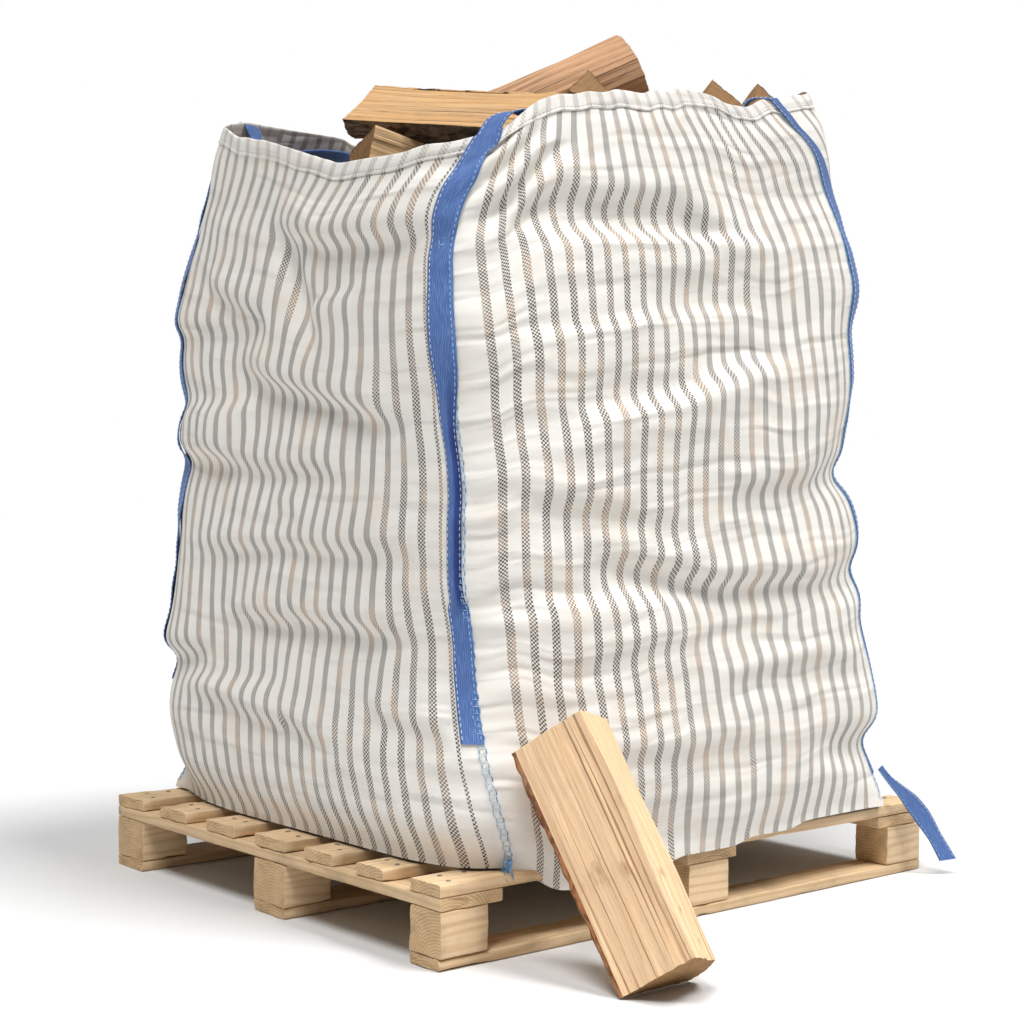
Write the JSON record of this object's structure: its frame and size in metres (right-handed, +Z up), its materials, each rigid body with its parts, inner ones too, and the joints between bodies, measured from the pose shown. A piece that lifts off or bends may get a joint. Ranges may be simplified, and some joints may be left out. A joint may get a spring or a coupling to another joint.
{
  "type": "firewood bulk bag on a pallet",
  "caption": "Open-topped vented cloth bulk bag slumped over split firewood, with webbing lifting straps at its corners, on a timber pallet, and one log leaning on it.",
  "frame": {"origin": "middle of the pallet's underside, on the ground", "axes": "+Z up, +X along the pallet's 1200 mm side, -Y towards the side that the loose log leans on"},
  "size_m": [1.214, 1.405, 1.6046],
  "materials": {
    "split_wood": "split and saw-cut raw hardwood, tan to pinkish, with bark on the outer faces",
    "pallet_pine": "rough-sawn pale softwood with knots, stains and nail heads",
    "woven_cloth": "off-white woven tape cloth with open net stripes that show dark and tan",
    "webbing": "royal blue twill webbing with pale blue stitching"
  },
  "bodies": {
    "root": {"bag_base_panel": "woven_cloth", "bag_panel_back": "woven_cloth", "bag_panel_front": "woven_cloth", "bag_panel_left": "woven_cloth", "bag_panel_right": "woven_cloth", "block_back_left": "pallet_pine", "block_back_middle": "pallet_pine", "block_back_right": "pallet_pine", "block_front_left": "pallet_pine", "block_front_middle": "pallet_pine", "block_front_right": "pallet_pine", "block_middle_left": "pallet_pine", "block_middle_middle": "pallet_pine", "block_middle_right": "pallet_pine", "bottom_board_back": "pallet_pine", "bottom_board_front": "pallet_pine", "bottom_board_middle": "pallet_pine", "deck_board_1": "pallet_pine", "deck_board_2": "pallet_pine", "deck_board_3": "pallet_pine", "deck_board_4": "pallet_pine", "deck_board_5": "pallet_pine", "deck_board_6": "pallet_pine", "deck_board_7": "pallet_pine", "lifting_strap_back_left": "webbing", "lifting_strap_back_right": "webbing", "lifting_strap_front_left": "webbing", "lifting_strap_front_right": "webbing", "log_broad_face": "split_wood", "log_fill_01": "split_wood", "log_fill_02": "split_wood", "log_fill_03": "split_wood", "log_fill_04": "split_wood", "log_fill_05": "split_wood", "log_fill_06": "split_wood", "log_fill_07": "split_wood", "log_fill_08": "split_wood", "log_fill_09": "split_wood", "log_fill_10": "split_wood", "log_fill_11": "split_wood", "log_fill_12": "split_wood", "log_fill_13": "split_wood", "log_leaning": "split_wood", "log_load": "split_wood", "log_small_wedge": "split_wood", "log_tall_round": "split_wood", "log_tip_far_right": "split_wood", "log_tip_middle": "split_wood", "log_tip_right": "split_wood", "stringer_left": "pallet_pine", "stringer_middle": "pallet_pine", "stringer_right": "pallet_pine"}
  },
  "joints": []
}
